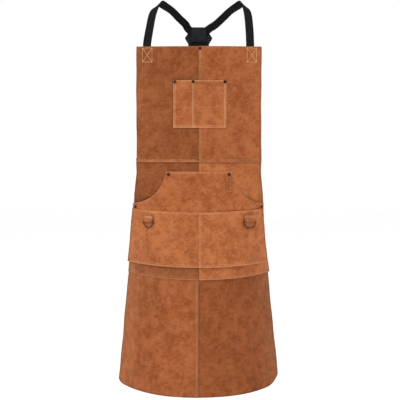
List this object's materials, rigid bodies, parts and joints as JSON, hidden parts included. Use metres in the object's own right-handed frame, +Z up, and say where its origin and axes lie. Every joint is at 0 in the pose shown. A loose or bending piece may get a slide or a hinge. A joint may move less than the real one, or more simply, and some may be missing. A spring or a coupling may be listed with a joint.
{
  "type": "welding apron",
  "caption": "Suede leather welding apron with a bib, pockets, tool rings and cross-back webbing straps, worn to shield the body from sparks and heat.",
  "frame": {"origin": "on the centre plane, level with the undersides of the two shoulder straps at their crests", "axes": "+Z up the wearer, front of the apron faces -Y, +X to the right seen from the front"},
  "size_m": [0.5118, 0.274, 1.2233],
  "materials": {
    "suede": "rough suede, tan brown",
    "suede_dark": "rough suede, darker hide",
    "webbing": "woven black webbing",
    "pad_black": "black coated pad",
    "aged_metal": "dark aged metal",
    "black_plastic": "moulded black plastic"
  },
  "bodies": {
    "apron": {"bib_panel_left": "suede", "bib_panel_right": "suede", "waist_panel_right": "suede", "skirt_panel_left": "suede", "chest_pocket": "suede", "hand_pocket": "suede", "tool_slot": "suede", "lower_pocket_left": "suede", "lower_pocket_right": "suede", "ring_tab_left": "suede", "ring_tab_right": "suede", "waist_panel_left": "suede_dark", "skirt_panel_right": "suede_dark", "shoulder_strap_left": "webbing", "waist_strap_left": "webbing", "side_tab_left": "webbing", "side_ring_left": "aged_metal", "shoulder_strap_right": "webbing", "waist_strap_right": "webbing", "side_tab_right": "webbing", "side_ring_right": "aged_metal", "rivet_cap_chest_left": "aged_metal", "rivet_post_chest_left": "aged_metal", "rivet_cap_chest_middle": "aged_metal", "rivet_post_chest_middle": "aged_metal", "rivet_cap_chest_right": "aged_metal", "rivet_post_chest_right": "aged_metal", "rivet_cap_bib_top": "aged_metal", "rivet_post_bib_top": "aged_metal", "rivet_cap_hand_left": "aged_metal", "rivet_post_hand_left": "aged_metal", "rivet_cap_hand_right": "aged_metal", "rivet_post_hand_right": "aged_metal", "rivet_cap_side_left": "aged_metal", "rivet_post_side_left": "aged_metal", "rivet_cap_side_right": "aged_metal", "rivet_post_side_right": "aged_metal", "back_pad": "pad_black", "back_pad_patch": "pad_black", "buckle_socket": "black_plastic"},
    "tool_ring_left": {"tool_ring_left": "aged_metal"},
    "tool_ring_right": {"tool_ring_right": "aged_metal"},
    "keeper_left": {"strap_keeper_left": "black_plastic"},
    "keeper_right": {"strap_keeper_right": "black_plastic"},
    "plug": {"buckle_plug": "black_plastic"},
    "prong_upper": {"buckle_prong_upper": "black_plastic"},
    "prong_lower": {"buckle_prong_lower": "black_plastic"}
  },
  "joints": [
    {"name": "tool_ring_left_swing", "type": "hinge", "parent": "apron", "child": "tool_ring_left", "pos_m": [-0.15781, -0.08902, -0.68378], "axis": [-0.8352, 0.55, 0], "range_deg": [-4, 140]},
    {"name": "tool_ring_right_swing", "type": "hinge", "parent": "apron", "child": "tool_ring_right", "pos_m": [0.15885, -0.0906, -0.6839], "axis": [-0.8352, -0.55, 0], "range_deg": [-4, 140]},
    {"name": "keeper_left_slide", "type": "slide", "parent": "apron", "child": "keeper_left", "axis": [-1, 0, 0], "range_m": [-0.016, 0.012]},
    {"name": "keeper_right_slide", "type": "slide", "parent": "apron", "child": "keeper_right", "axis": [1, 0, 0], "range_m": [-0.016, 0.012]},
    {"name": "buckle_release", "type": "slide", "parent": "apron", "child": "plug", "axis": [1, 0, 0], "range_m": [0, 0.03], "deforming": ["waist_strap_right", "buckle_prong_upper", "buckle_prong_lower"]},
    {"name": "prong_upper_squeeze", "type": "hinge", "parent": "plug", "child": "prong_upper", "pos_m": [0.0136, 0.134, -0.6097], "axis": [0, -1, 0], "range_deg": [0, 8], "stiffness_Nm_per_rad": 0.05},
    {"name": "prong_lower_squeeze", "type": "hinge", "parent": "plug", "child": "prong_lower", "pos_m": [0.0136, 0.134, -0.6323], "axis": [0, 1, 0], "range_deg": [0, 8], "stiffness_Nm_per_rad": 0.05}
  ],
  "couplings": [
    {"joint": "prong_lower_squeeze", "follows": "prong_upper_squeeze", "ratio": 1}
  ]
}
